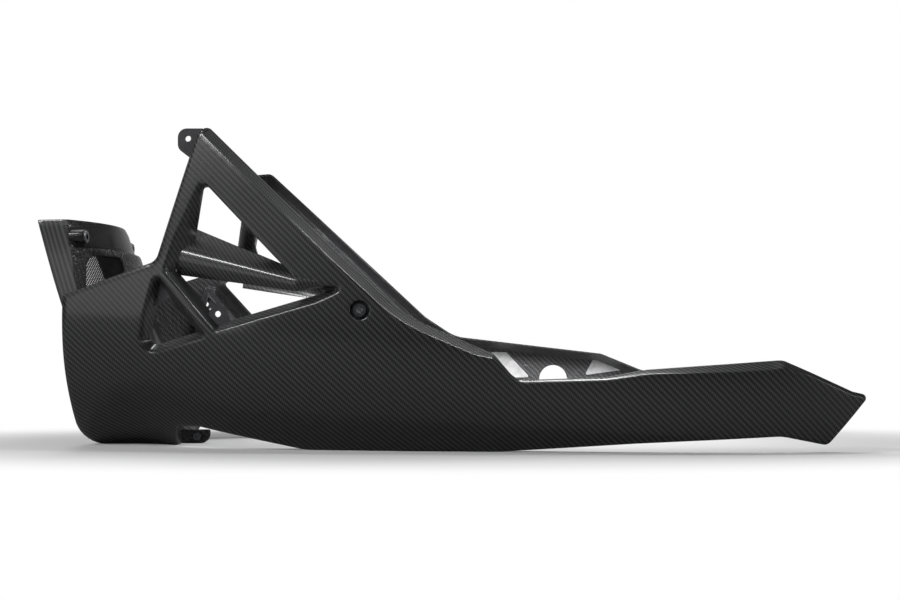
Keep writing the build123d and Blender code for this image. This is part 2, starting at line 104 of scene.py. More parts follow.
# Vane's top edge, ridge and foot: height in front and at the rear, then depth behind the skin
# in front and at the rear
VANE = ((248, 191, 31, 9), (222, 186, 12, 0), (190, 170, 19, 0))
VANE_FRONT_X = -287.0
VANE_REAR_X = -150.0
VANE_TIP = (-126.0, 180.0)     # x and z of the point that it closes to behind its rear numbers
VANE_THICK = (2.6, 1.2)        # in front and at the rear
VANE_SWELL = 0.1625            # of the height of the face under the ridge
VANE_ROUND = 0.1               # reach of the ridge's rounding, as a share of each face
VANE_PROUD = 0.15              # how far it stands out from the depths above
LEFT_VANE_X = -290.0           # front ends, each behind its own strut
RIGHT_VANE_X = -262.0

# Strut's flange in the upper openings: it is turned where it lies deeper than FLANGE_DEPTH, ahead
# of FLANGE_X and above FLANGE_Z, and swings from forwards at the top to rearwards low down
FLANGE_DEPTH = 3.0
FLANGE_X = -246.0
FLANGE_RUN = 8.0               # the turn sets in over this length
FLANGE_Z = 192.0
FLANGE_RISE = 12.0             # and over this height
FLANGE_TOP = 289.0
FLANGE_SWING = 57.0            # height that the swing takes
FLANGE_FORWARDS = 0.2          # shares of its depth
FLANGE_REARWARDS = 1.0

# Keel flange: side view, and its bolt holes
KEEL = ((-402, 0, 2), (-402, 16, 2), (-276, 16, 2), (-276, 0, 11))
KEEL_BOLT_X = (-386, -338, -290)
KEEL_BOLT_Z = 8.0
KEEL_BOLT_R = 2.6

# Front cover: heights and lean, X of the trough's and pocket's axes and of the front edge at the top
COVER_TOP = 252.0
COVER_FOOT = 24.0
COVER_HALF = 150.0             # round the wall from its middle to a front edge, in equal parts of the turn
COVER_LEAN = 0.336
COVER_FRONT = -446.6
TROUGH_AXIS = -505.0
TROUGH_R = 125.0
POCKET_AXIS = -492.0
POCKET_R = 118.0
POCKET_TOP = 222.0
POCKET_FOOT = 152.0
POCKET_RAMP = 3.0              # height over which the pocket runs out into the trough
POCKET_LINE = -400.0           # x, at half the pocket's height, that its rough finish starts behind
POCKET_BORDER = 1.0            # and its distance from the pocket's top and foot
FLUSH = 2.6                    # depth behind the skin that still counts as flush with the panels
FLUSH_BEVEL_Z = 243.0          # height above which it grows, by FLUSH_SLOPE of the rise, up to FLUSH_MORE
FLUSH_SLOPE = 0.25
FLUSH_MORE = 1.8
WINDOW = ((56, 170, 8), (44, 213, 6), (104, 213, 22), (119, 170, 8))   # round the wall, height, radius

# Bosses on the cover's shoulders: (x, radius) turned about their axis, round from the bore's inner end
BOSS = ((-409, 4.8), (-409, 7.6), (-402, 8.0), (-395, 8.0), (-393.2, 7.6), (-392.6, 6.9), (-392.6, 5.0),
        (-393, 4.8))
CLOTH_RADIUS = 7.0             # radius that the cloth is wound on
BOSS_Y = 80.0
BOSS_Z = 233.0

# Grilles: reach round the wall and in height, and the wires
GRILLE_ROUND = (38.0, 124.0)
GRILLE_HEIGHT = (166.0, 217.0)
WIRE_PITCH = 2.3
WIRE_HALF = 0.48
WIRE_SETS = ((1, 2.75), (-1, 3.55))   # slope of each set, and its depth behind the pocket's wall
SHORTEST_WIRE = 4.0
WIRE_POINTS = 30
DIAGONAL = 1.414               # level distance for each millimetre square to a wire at 45 degrees

# Meshes: how fine each is, and the search for the hull from the cover's axis
PANEL_STEP = 4.5
KEEL_STEP = 5.0
COVER_STEP = 2.5
ROW_PITCH = 0.87               # rows of a staggered grid, in steps
RING_CLEAR = 0.7               # least distance of a grid point from the edges, in steps
MERGE = 1e-7                   # points closer than this are one
LEAST_RADIUS = 0.5             # of a corner, where an edge's profile would use it up
SEARCH_START = 90.0
SEARCH_STEPS = 30
SEARCH_SHARE = 0.6             # of the way to the next guess
SEARCH_LIMIT = 400.0


def cubic_weights(knots, at):
    """Share of each knot's value in a natural cubic spline, one row for each place: second
    derivatives from the usual three-band system."""
    gap = np.diff(knots)
    count = len(knots)
    inner = np.arange(1, count - 1)
    system = np.eye(count)
    system[inner, inner - 1] = gap[:-1]
    system[inner, inner] = 2 * (gap[:-1] + gap[1:])
    system[inner, inner + 1] = gap[1:]
    bends = np.zeros((count, count))
    bends[inner, inner - 1] = 6 / gap[:-1]
    bends[inner, inner] = -6 / gap[:-1] - 6 / gap[1:]
    bends[inner, inner + 1] = 6 / gap[1:]
    second = np.linalg.solve(system, bends)
    i = np.clip(np.searchsorted(knots, at, side="right") - 1, 0, count - 2)
    past = (at - knots[i])[:, None]
    left = (knots[i + 1] - at)[:, None]
    run = gap[i][:, None]
    unit = np.eye(count)
    return (unit[i] * left / run + unit[i + 1] * past / run
            + second[i] * (left ** 3 / run - left * run) / 6
            + second[i + 1] * (past ** 3 / run - past * run) / 6)


def hull_widths():
    """Half width at every station and level: full at the belt, less tuck x (share of the drop) ^
    TUCK_POWER below it, leaning in by LEAN x (rise / LEAN_RISE) ^ LEAN_POWER above."""
    belt, tuck, level = (STATIONS[:, i, None] for i in (1, 2, 3))
    drop = np.clip(level - LEVELS, 0, None) / level
    rise = np.clip(LEVELS - level, 0, None) / LEAN_RISE
    return belt - tuck * drop ** TUCK_POWER - LEAN * rise ** LEAN_POWER


WIDTHS = hull_widths()


def skin(x, z):
    """Half width of the hull at any x and z: natural cubic splines along X through the stations
    and up Z through the levels."""
    return np.einsum("pi,ij,pj->p", cubic_weights(STATIONS[:, 0], x), WIDTHS, cubic_weights(LEVELS, z))


def on_skin(flat, depth):
    """Side-view points at a depth, along Y, behind the left-hand skin, no further than the keel flange."""
    x, z = flat.T
    return np.stack((x, np.minimum(depth - skin(x, z), -WALL), z), 1)


def behind_skin(flat, depth):
    """Side-view points at a depth behind the left-hand skin, measured square to it."""
    x, z = flat.T
    fall = skin(x, z + 0.5) - skin(x, z - 0.5)
    along = skin(x + 0.5, z) - skin(x - 0.5, z)
    run = np.sqrt(1 + fall ** 2 + along ** 2)
    return np.stack((x + depth * along / run, depth / run - skin(x, z), z + depth * fall / run), 1)


def drape(flat):
    """Cloth coordinates in millimetres: x, and the length of the section's curve up from
    CLOTH_LEVEL, by Simpson's rule."""
    x, z = flat.T
    share = np.linspace(0, 1, 7)
    weight = np.array((1, 4, 2, 4, 2, 4, 1)) / 18
    length = np.zeros(len(x))
    for part, amount in zip(share, weight):
        at = CLOTH_LEVEL + part * (z - CLOTH_LEVEL)
        length += amount * np.sqrt(1 + (skin(x, at + 0.5) - skin(x, at - 0.5)) ** 2)
    return np.stack((x, CLOTH_LEVEL + (z - CLOTH_LEVEL) * length), 1)


def loop(corners, growths, step=4.0, arc=9):
    """Closed outline of straight runs and tangent arcs, every run moved outwards by its own
    growth, and each point's share of the runs. The count of points depends on the corners alone."""
    c = np.array(corners, float)
    growth = np.broadcast_to(np.asarray(growths, float), len(c))
    run = np.roll(c[:, :2], -1, 0) - c[:, :2]
    length = np.hypot(*run.T)
    leave = run / length[:, None]
    come = np.roll(leave, 1, 0)
    earlier = np.roll(growth, 1)
    out = come[:, ::-1] * (-1, 1)
    off = leave[:, ::-1] * (-1, 1)
    lap = (out * off).sum(1)
    shift = out * (earlier - growth * lap)[:, None] + off * (growth - earlier * lap)[:, None]
    point = c[:, :2] + shift / (1 - lap ** 2)[:, None]
    bend = come[:, 0] * leave[:, 1] - come[:, 1] * leave[:, 0]
    angle = np.arctan2(np.abs(bend), lap)
    least = np.where(np.abs(growth) < np.abs(earlier), growth, earlier)
    radius = np.maximum(c[:, 2] + np.where(bend < 0, least, -least), LEAST_RADIUS)[:, None]
    reach = radius * np.tan(angle / 2)[:, None]
    start, end = point - come * reach, point + leave * reach
    inward = np.where(bend < 0, -1, 1)[:, None] * out
    turn = (np.linspace(0, 1, arc) * angle[:, None])[:, :, None]
    arcs = (start + inward * radius)[:, None] - (inward * radius)[:, None] * np.cos(turn)
    arcs = arcs + (come * radius)[:, None] * np.sin(turn)
    plain = c[:, 2] * np.tan(angle / 2)
    straight = length - plain - np.roll(plain, -1)
    points, shares = [], []
    unit = np.eye(len(c))
    for i in range(len(c)):
        part = np.linspace(0, 1, arc)[:, None]
        points.append(arcs[i])
        shares.append(unit[i - 1] * (1 - part) + unit[i] * part)
        between = np.linspace(0, 1, max(int(straight[i] / step), 1) + 2)[1:-1, None]
        points.append(end[i] * (1 - between) + start[(i + 1) % len(c)] * between)
        shares.append(np.repeat(unit[i:i + 1], len(between), 0))
    return np.concatenate(points), np.concatenate(shares)


def rim_rows(corners, profiles, side):
    """Rows of an edge profile carried round an outline: each run has its own profile, mixed round
    the corners. Side is -1 for an outer edge and 1 for an opening."""
    table = np.array(profiles, float)
    rows, depths = [], []
    for k in range(table.shape[1]):
        flat, shares = loop(corners, side * table[:, k, 0])
        rows.append(flat)
        depths.append(shares @ table[:, k, 1])
    return rows, depths, side


def round_rows(x, z, radius, profile, count=64):
    """Rows of an edge profile carried clockwise round a circle."""
    turn = -np.linspace(0, 2 * np.pi, count, endpoint=False)
    ring = np.stack((np.cos(turn), np.sin(turn)), 1)
    rows = [np.array((x, z)) + ring * (radius + into) for into, _ in profile]
    return rows, [np.full(count, float(depth)) for _, depth in profile], 1


def inside(flat, ring):
    """Which points lie inside a closed ring, by counting the sides that a level ray crosses."""
    x, z = flat[:, :1], flat[:, 1:]
    ax, az = ring.T
    bx, bz = np.roll(ring, -1, 0).T
    across = (az > z) != (bz > z)
    rise = np.where(bz == az, 1, bz - az)
    return (across & (x < (bx - ax) * (z - az) / rise + ax)).sum(1) % 2 == 1


def fill(rings, step):
    """Flat region between an outer ring and its openings: staggered grid points inside, joined to
    the rings by a Delaunay triangulation."""
    edge = np.concatenate(rings)
    low, high = edge.min(0), edge.max(0)
    x, z = np.meshgrid(np.arange(low[0], high[0], step), np.arange(low[1], high[1], step * ROW_PITCH))
    x = x + (np.arange(len(x)) % 2 * step / 2)[:, None]
    grid = np.stack((x.ravel(), z.ravel()), 1)
    grid = grid[inside(grid, rings[0])]
    for hole in rings[1:]:
        grid = grid[~inside(grid, hole)]
    near = ((grid[:, None] - edge[None]) ** 2).sum(2).min(1)
    flat = np.concatenate((edge, grid[near > (RING_CLEAR * step) ** 2]))
    sides, first = [], 0
    for ring in rings:
        at = first + np.arange(len(ring))
        sides.append(np.stack((at, np.roll(at, -1)), 1))
        first += len(ring)
    places = [Vector(p) for p in flat.tolist()]
    inside_only = 1            # kind of output: triangles inside the rings
    found = delaunay_2d_cdt(places, np.concatenate(sides).tolist(), [], inside_only, MERGE)
    flat = np.array([tuple(p) for p in found[0]])
    faces = np.array(found[2])
    middle = flat[faces].mean(1)
    keep = inside(middle, rings[0])
    for hole in rings[1:]:
        keep &= ~inside(middle, hole)
    return flat, faces[keep]


def strips(index, flip):
    """Triangles of a grid of point numbers that is closed along its second direction."""
    a, b = index[:-1], np.roll(index[:-1], -1, 1)
    c, d = np.roll(index[1:], -1, 1), index[1:]
    halves = np.stack((a, b, c), -1), np.stack((a, c, d), -1)
    faces = np.concatenate([half.reshape(-1, 3) for half in halves])
    return faces[:, ::-1] if flip else faces


def shell(rings, front, back, cloth, step):
    """Closed sheet: a filled region lifted on to its front and back faces, with each ring's edge
    profile carried round between them. Returns points, triangles, cloth coordinates and which
    triangles are the inner side."""
    flat, faces = fill([rows[0] for rows, _, _ in rings], step)
    count = len(flat)
    zero = np.zeros(count)
    spread = cloth(flat)
    points = [front(flat, zero), back(flat, zero + WALL)]
    cloths = [spread, spread]
    triangles = [faces, faces[:, ::-1] + count]
    inner = [np.zeros(len(faces), int), np.ones(len(faces), int)]
    first, total = 0, 2 * count
    for rows, depths, side in rings:
        size = len(rows[0])
        between = len(rows) - 2
        turned_in = list(zip(rows[1:-1], depths[1:-1]))
        points.append(np.concatenate([front(r, d) for r, d in turned_in]))
        ahead = np.roll(rows[0], -1, 0) - np.roll(rows[0], 1, 0)
        out = ahead[:, ::-1] * (-1, 1) / np.hypot(*ahead.T)[:, None] * -side
        cloths.append(np.concatenate([cloth(r) + out * d[:, None] for r, d in turned_in]))
        ring = first + np.arange(size)
        middle = total + np.arange(between * size).reshape(between, size)
        index = np.concatenate((ring[None], middle, ring[None] + count))
        triangles.append(strips(index, side > 0))
        row = np.concatenate((np.repeat(np.arange(between + 1), size),) * 2)
        inner.append((row >= INNER_ROW).astype(int))
        first += size
        total += between * size
    return tuple(np.concatenate(part) for part in (points, triangles, cloths, inner))


def piece(name, points, triangles, cloth, finish, materials, sharp=38):
    """Mesh object from arrays: points in millimetres, triangles, cloth coordinates for each point,
    and a material number for each triangle. Edges over the sharp angle, in degrees, stay hard."""
    mesh = bpy.data.meshes.new(name)
    mesh.vertices.add(len(points))
    mesh.vertices.foreach_set("co", (points * MM).ravel())
    mesh.loops.add(3 * len(triangles))
    mesh.loops.foreach_set("vertex_index", triangles.ravel())
    mesh.polygons.add(len(triangles))
    mesh.polygons.foreach_set("loop_start", np.arange(0, 3 * len(triangles), 3))
    mesh.polygons.foreach_set("material_index", finish)
    mesh.update(calc_edges=True)
    mesh.validate()
    mesh.uv_layers.new(name="cloth").uv.foreach_set("vector", cloth[triangles.ravel()].ravel())
    mesh.shade_smooth()
    mesh.set_sharp_from_angle(angle=math.radians(sharp))
    for material in materials:
        mesh.materials.append(material)
    made = bpy.data.objects.new(name, mesh)
    bpy.context.scene.collection.objects.link(made)
    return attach(made, "root")


# Materials

def colour(text):
    """Linear colour from an sRGB hex value."""
    parts = [int(text[i:i + 2], 16) / 255 for i in (1, 3, 5)]
    return tuple(p / 12.92 if p <= 0.04045 else ((p + 0.055) / 1.055) ** 2.4 for p in parts) + (1.0,)


def add(material, kind, inputs=(), **settings):
    """One node: its settings, then its inputs as numbers, colours or other nodes' sockets, by
    socket name or number."""
    made = material.node_tree.nodes.new(kind)
    for name, value in settings.items():
        setattr(made, name, value)
    for key, value in dict(inputs).items():
        if isinstance(value, bpy.types.NodeSocket):
            material.node_tree.links.new(value, made.inputs[key])
        else:
            made.inputs[key].default_value = value
    return made


def blank(name):
    """New material with an empty node tree and its output."""
    made = bpy.data.materials.new(name)
    made.use_nodes = True
    made.node_tree.nodes.clear()
    return made, add(made, "ShaderNodeOutputMaterial")


TOW = 1.75                     # width of a carbon tow
TOW_RISE = 0.3                 # height of a tow's crown
GRAIN_RISE = 0.2               # height of a plain surface's grain, as a share of its size
FOLD = 8.0                     # distance between the folds of a mould bag
FOLD_RISE = 4.0                # their height where they are strongest
CLOUD = 1000 / 9               # size of the clouds in the coat's roughness


def twill(material, tow):
    """2 x 2 twill of tows of a given width in millimetres: which set is on top, and the height of
    the crown. A warp tow is on top where the sum of the two tow numbers, modulo 4, is under 2; a
    crown is a half sine across its tow times a sine along its float."""
    place = add(material, "ShaderNodeUVMap", uv_map="cloth").outputs[0]
    cloth = add(material, "ShaderNodeVectorMath", {0: place, "Scale": 1 / tow},
                operation="SCALE").outputs[0]
    cell = add(material, "ShaderNodeVectorMath", {0: cloth}, operation="FLOOR").outputs[0]
    total = add(material, "ShaderNodeVectorMath", {0: cell, 1: (1, 1, 0)},
                operation="DOT_PRODUCT").outputs["Value"]
    turn = add(material, "ShaderNodeMath", {0: total, 1: 4.0}, operation="FLOORED_MODULO").outputs[0]
    warp = add(material, "ShaderNodeMath", {0: turn, 1: 2.0}, operation="LESS_THAN").outputs[0]
    part = add(material, "ShaderNodeVectorMath", {0: cloth}, operation="FRACTION").outputs[0]
    half = add(material, "ShaderNodeVectorMath", {0: part, "Scale": math.pi}, operation="SCALE").outputs[0]
    across = add(material, "ShaderNodeVectorMath", {0: half}, operation="SINE").outputs[0]
    swapped = add(material, "ShaderNodeVectorMath", {0: cell, 1: (0, 0, 1)},
                  operation="CROSS_PRODUCT").outputs[0]
    floats = add(material, "ShaderNodeVectorMath", {0: swapped, 1: (1, -1, 0), 2: cloth},
                 operation="MULTIPLY_ADD").outputs[0]
    quarter = add(material, "ShaderNodeVectorMath", {0: floats, "Scale": math.pi / 2},
                  operation="SCALE").outputs[0]
    swing = add(material, "ShaderNodeVectorMath", {0: quarter}, operation="SINE").outputs[0]
    along = add(material, "ShaderNodeVectorMath", {0: swing}, operation="ABSOLUTE").outputs[0]
    crossed = add(material, "ShaderNodeVectorMath", {0: along, 1: (0, 0, 1)},
                  operation="CROSS_PRODUCT").outputs[0]
    level = add(material, "ShaderNodeVectorMath", {0: crossed, 1: (1, -1, 0)},
                operation="MULTIPLY").outputs[0]
    both = add(material, "ShaderNodeVectorMath", {0: across, 1: level}, operation="MULTIPLY").outputs[0]
    split = add(material, "ShaderNodeSeparateXYZ", {0: both})
    crown = add(material, "ShaderNodeMix", {0: warp, 2: split.outputs[1], 3: split.outputs[0]}).outputs[0]
    return warp, crown


def carbon(name, light, dark, roughness, coat, coat_roughness, relief, dust, folds=0.0):
    """Carbon twill under a clear coat: warp tows in the light colour and weft tows in the dark one,
    a painted sheen that stands in for the two sets' different shine along their fibres, each tow
    darkened towards its edges by painted shade; a woven relief under the coat, a faint cloudiness
    in its roughness, and folds where a bag was drawn over it."""
    made, output = blank(name)
    warp, crown = twill(made, TOW)
    where = add(made, "ShaderNodeTexCoord").outputs["Object"]
    cloud = add(made, "ShaderNodeTexNoise", {
        "Vector": where, "Scale": 1 / (CLOUD * MM), "Detail": 3.0, "Roughness": 0.6}).outputs[0]
    # Painted sheen: warp tows take the light colour and weft tows the dark one, standing in for how
    # differently the two sets shine along their fibres
    tint = add(made, "ShaderNodeMix", {0: warp, 6: colour(dark), 7: colour(light)},
               data_type="RGBA").outputs[2]
    # Painted shade: each tow is darkened towards its sides and ends by its crown's height
    edge = add(made, "ShaderNodeMapRange", {0: crown, 1: 0.0, 2: 0.7, 3: 0.35, 4: 1.0}).outputs[0]
    shade = add(made, "ShaderNodeMix", {0: 1.0, 6: tint, 7: edge},
                data_type="RGBA", blend_type="MULTIPLY").outputs[2]
    rough = add(made, "ShaderNodeMapRange", {
        0: cloud, 1: 0.3, 2: 0.7, 3: roughness - dust, 4: roughness + dust}).outputs[0]
    bump = add(made, "ShaderNodeBump", {
        "Strength": relief, "Distance": TOW_RISE * MM, "Height": crown}).outputs[0]
    fold = add(made, "ShaderNodeTexNoise", {
        "Vector": where, "Scale": 1 / (FOLD * MM), "Detail": 3.0, "Distortion": 1.5}).outputs[0]
    lumpy = add(made, "ShaderNodeBump", {
        "Strength": folds, "Distance": FOLD_RISE * MM, "Height": fold, "Normal": bump}).outputs[0]
    wavy = add(made, "ShaderNodeBump", {
        "Strength": folds, "Distance": FOLD_RISE * MM, "Height": fold}).outputs[0]
    shader = add(made, "ShaderNodeBsdfPrincipled", {
        "Base Color": shade, "Roughness": rough, "IOR": 1.5, "Normal": lumpy, "Coat Normal": wavy,
        "Coat Weight": coat, "Coat Roughness": coat_roughness, "Coat IOR": 1.5})
    made.node_tree.links.new(shader.outputs[0], output.inputs[0])
    return made


# Clear-coated carbon twill, flatted to a satin: soft dark grey with diagonal ribs whose light and dark
# stripes are painted sheen, bright only on edges
CARBON_SATIN = carbon("carbon_twill_satin_coat", "#545557", "#18181a", roughness=0.5, coat=1.0,
                      coat_roughness=0.16, relief=0.5, dust=0.06)
# Inner face as it left the mould bag: bare resin over the same cloth, wet gloss and blotchy; its pale grey
# is partly the haze of bare resin and partly painted light on the panels' inner faces
CARBON_RAW = carbon("carbon_raw_inner_resin", "#7c7c7e", "#58585a", roughness=0.45, coat=1.0,
                    coat_roughness=0.24, relief=0.3, dust=0.1, folds=0.4)
# Pocket round the grilles, trimmed by hand: dark resin with sharp little folds
CARBON_ROUGH = carbon("carbon_raw_pocket_resin", "#343436", "#141415", roughness=0.5, coat=1.0,
                      coat_roughness=0.2, relief=1.0, dust=0.1, folds=1.0)
# The cover keeps a polished coat, so the same cloth looks darker and wetter
CARBON_GLOSS = carbon("carbon_twill_gloss_coat", "#242426", "#0b0b0c", roughness=0.34, coat=0.6,
                      coat_roughness=0.14, relief=0.8, dust=0.05)


def plain(name, base, roughness, metallic, grain, relief):
    """One-colour material with a noise of a given grain in millimetres in its relief, its roughness
    and, faintly, its colour."""
    made, output = blank(name)
    where = add(made, "ShaderNodeTexCoord").outputs["Object"]
    noise = add(made, "ShaderNodeTexNoise", {
        "Vector": where, "Scale": 1 / (grain * MM), "Detail": 4.0}).outputs[0]
    tint = add(made, "ShaderNodeMapRange", {0: noise, 1: 0.3, 2: 0.7, 3: 0.8, 4: 1.1}).outputs[0]
    shade = add(made, "ShaderNodeMix", {0: 1.0, 6: colour(base), 7: tint},
                data_type="RGBA", blend_type="MULTIPLY").outputs[2]
    rough = add(made, "ShaderNodeMapRange", {
        0: noise, 1: 0.3, 2: 0.7, 3: roughness * 0.8, 4: roughness * 1.2}).outputs[0]
    bump = add(made, "ShaderNodeBump", {
        "Strength": relief, "Distance": GRAIN_RISE * grain * MM, "Height": noise}).outputs[0]
    shader = add(made, "ShaderNodeBsdfPrincipled", {
        "Base Color": shade, "Roughness": rough, "Metallic": metallic, "Normal": bump})
    made.node_tree.links.new(shader.outputs[0], output.inputs[0])
    return made


# Cut carbon plate, sanded on its faces: even dark grey with a fine grain
CARBON_PLATE = plain("carbon_plate_sanded", "#59595c", roughness=0.42, metallic=0.0, grain=1.5,
                     relief=0.3)
# Nitrile rubber: near black, dull, slightly pebbled
RUBBER = plain("rubber_moulded", "#161617", roughness=0.7, metallic=0.0, grain=0.8, relief=0.4)
# Zinc-plated steel: pale blue-grey metal with a soft grain from the plating bath
ZINC = plain("steel_zinc_plated", "#85888c", roughness=0.34, metallic=1.0, grain=1.2, relief=0.2)
# Aluminium foil on glass cloth, crinkled: its near-white, mostly diffuse colour is partly the foil's own
# pale face and partly painted reflection of the bright light that a real foil mirrors
FOIL = plain("aluminium_heat_foil", "#fdfdfe", roughness=0.4, metallic=0.2, grain=9.0, relief=0.5)
# Woven steel wire, black lacquered: dark, with a dull shine along each wire
WIRE_BLACK = plain("steel_wire_black_lacquer", "#1d1d1e", roughness=0.45, metallic=0.0, grain=0.6,
                   relief=0.1)


# Pieces

def joined(*shapes):
    """Several closed shapes as one set of arrays."""
    points, triangles, cloths, finish = zip(*shapes)
    first = np.cumsum([0] + [len(p) for p in points[:-1]])
    moved = [t + start for t, start in zip(triangles, first)]
    return tuple(np.concatenate(part) for part in (points, moved, cloths, finish))


def outward(points, faces):
    """Triangles of a closed shape turned so that its volume is positive."""
    a, b, c = points[faces].transpose(1, 0, 2)
    return faces if (a * np.cross(b, c)).sum() > 0 else faces[:, ::-1]


def widened(ring):
    """An upper opening's rows with the strut's flange turned: every point is moved along X by its
    depth past FLANGE_DEPTH, times a share that runs straight from FLANGE_REARWARDS low down to
    -FLANGE_FORWARDS at FLANGE_TOP, and that sets in over FLANGE_RUN and FLANGE_RISE."""
    rows, depths, side = ring
    moved = []
    for flat, depth in zip(rows, depths):
        x, z = flat.T
        near = np.clip((FLANGE_X - x) / FLANGE_RUN, 0, 1) * np.clip((z - FLANGE_Z) / FLANGE_RISE, 0, 1)
        low = np.clip((FLANGE_TOP - z) / FLANGE_SWING, 0, 1)
        swing = (FLANGE_REARWARDS + FLANGE_FORWARDS) * low - FLANGE_FORWARDS
        moved.append(flat + np.stack((near * swing * np.clip(depth - FLANGE_DEPTH, 0, None), 0 * z), 1))
    return moved, depths, side


def blended(wide, narrow, share):
    """Two sets of rows on one outline, mixed point by point: the narrow one's share is read off by
    the x of the outermost edge."""
    mix = np.interp(wide[0][EDGE_ROW][:, 0], SILL_X, share)
    rows = [a + mix[:, None] * (b - a) for a, b in zip(wide[0], narrow[0])]
    depths = [a + mix * (b - a) for a, b in zip(wide[1], narrow[1])]
    return rows, depths, wide[2]


def panel(head, back, upper, sill, extra):
    """Side panel on the left: outline, openings, dish and any extra openings, on the hull's skin.
    Sill is the share of the narrow sill in the shoulder at each of SILL_X. The nose's front is a
    plain soft edge, the strut's front is rounded, and the shoulder runs from the head to the tail."""
    corners = NOSE + head + back + TAIL
    kinds = [RIM] * len(corners)
    kinds[1:5] = [SOFT, SOFT, STRUT, STRUT]
    shoulder = range(len(NOSE + head) - 1, len(NOSE + head + back) + 1)
    wide = [SHOULDER if i in shoulder else kind for i, kind in enumerate(kinds)]
    narrow = [SILL if i in shoulder else kind for i, kind in enumerate(kinds)]
    edges = [RIM, RIM, INWARD, INWARD, INWARD, STRUT, STRUT, RIM, RIM]
    rings = [
        blended(rim_rows(corners, wide, -1), rim_rows(corners, narrow, -1), sill),
        widened(rim_rows(upper, edges, 1)),
        rim_rows(LOWER_OPENING, [INWARD] * 3, 1),
        round_rows(*DISH, DISH_PROFILE),
    ] + extra
    return shell(rings, on_skin, behind_skin, drape, PANEL_STEP)


def vane(start):
    """Ridged vane from behind the strut to the beam: its top edge, ridge and foot run straight, the
    ridge is rounded by a soft maximum, the face under it swells as a parabola by VANE_SWELL of its
    height, and its rear end lies flush on the skin and closes to a point."""
    along = np.linspace(start, VANE_TIP[0], 70)
    share = (along - VANE_FRONT_X) / (VANE_REAR_X - VANE_FRONT_X)
    tip = np.clip((along - VANE_REAR_X) / (VANE_TIP[0] - VANE_REAR_X), 0, 1)
    edges = []
    for front, rear, deep, shallow in VANE:
        z = (front + np.clip(share, None, 1) * (rear - front)) * (1 - tip) + VANE_TIP[1] * tip
        edges.append((z, (deep + np.clip(share, None, 1) * (shallow - deep)) * (1 - tip)))
    across = np.linspace(-1, 1, 41)
    soft = np.sqrt(across ** 2 + VANE_ROUND ** 2)
    up, down = (soft - across) / 2, (soft + across) / 2
    scale = up[0] + down[0] - 1
    up, down = up - scale / 2, down - scale / 2
    top, ridge, foot = edges
    flat_z, depth = (r[:, None] + (t - r)[:, None] * up + (f - r)[:, None] * down
                     for t, r, f in zip(top, ridge, foot))
    fall = np.clip(across, 0, 1)
    swell = 4 * VANE_SWELL * (ridge[0] - foot[0])[:, None] * fall * (1 - fall)
    depth = depth - swell * (1 - tip)[:, None]
    x = np.broadcast_to(along[:, None], depth.shape)
    thick = np.broadcast_to(np.interp(share, (0, 1), VANE_THICK)[:, None], depth.shape)
    front = on_skin(np.stack((x.ravel(), flat_z.ravel()), 1), (depth - VANE_PROUD).ravel())
    back = front + np.stack((0 * thick, thick, 0 * thick), -1).reshape(-1, 3)
    size = depth.shape
    outer = np.arange(depth.size).reshape(size)
    ring = np.concatenate((outer, outer[:, ::-1] + depth.size), 1)
    faces = [strips(ring, False)]
    for end, flip in ((0, True), (-1, False)):
        cap = np.stack((outer[end], outer[end] + depth.size))
        a, b, c, d = cap[0, :-1], cap[0, 1:], cap[1, 1:], cap[1, :-1]
        lid = np.concatenate((np.stack((a, b, c), 1), np.stack((a, c, d), 1)))
        faces.append(lid[:, ::-1] if flip else lid)
    faces = np.concatenate(faces)
    rise, run = (np.diff(part, axis=1, prepend=part[:, :1]) for part in (flat_z, depth))
    reach = np.cumsum(np.hypot(rise, run), 1)
    cloth = np.stack((x, -reach), -1).reshape(-1, 2)
    points = np.concatenate((front, back))
    return points, outward(points, faces), np.concatenate((cloth, cloth)), np.zeros(len(faces), int)


def keel():
    """Upright joint flange along the keel with its tongue, a plate of one wall's thickness at the
    middle plane."""
    rings = [rim_rows(KEEL, [BARE] * len(KEEL), -1)]
    rings += [round_rows(x, KEEL_BOLT_Z, KEEL_BOLT_R, BARE_HOLE, count=24) for x in KEEL_BOLT_X]

    def face(flat, depth):
        return np.stack((flat[:, 0], depth - WALL, flat[:, 1]), 1)
    points, triangles, cloth, inner = shell(rings, face, face, lambda flat: flat, KEEL_STEP)
    return points, triangles, cloth, 2 + 0 * inner


def polar(s, z, inset):
    """Front cover about the trough's leaning axis: distance out is the greater of the trough's
    circle and the pocket's, cut off at the inside of the hull, which is found by stepping towards
    it. s runs from -COVER_HALF to COVER_HALF between the front edges, round the back."""
    shift = COVER_LEAN * (COVER_TOP - z)
    axis = TROUGH_AXIS + shift
    front = COVER_FRONT + shift
    widest = np.arctan2(skin(front, z) - COVER_SET, front - axis)
    turn = widest * s / COVER_HALF
    cos, sin = np.cos(turn), np.abs(np.sin(turn))
    ahead = POCKET_AXIS - TROUGH_AXIS
    pocket = ahead * cos + np.sqrt(np.clip(POCKET_R ** 2 - (ahead * sin) ** 2, 0, None))
    rise = np.clip((POCKET_TOP - z) / POCKET_RAMP, 0, 1) * np.clip((z - POCKET_FOOT) / POCKET_RAMP, 0, 1)
    out = TROUGH_R + rise * np.clip(pocket - TROUGH_R, 0, None)
    wall = np.full(len(s), SEARCH_START)
    for _ in range(SEARCH_STEPS):
        reach = (skin(axis + wall * cos, z) - COVER_SET) / np.maximum(sin, 1e-6)
        wall = wall + SEARCH_SHARE * (np.clip(reach, 0, SEARCH_LIMIT) - wall)
    out = np.minimum(out, wall) - inset
    return np.stack((axis + out * cos, out * np.sin(turn), z), 1)


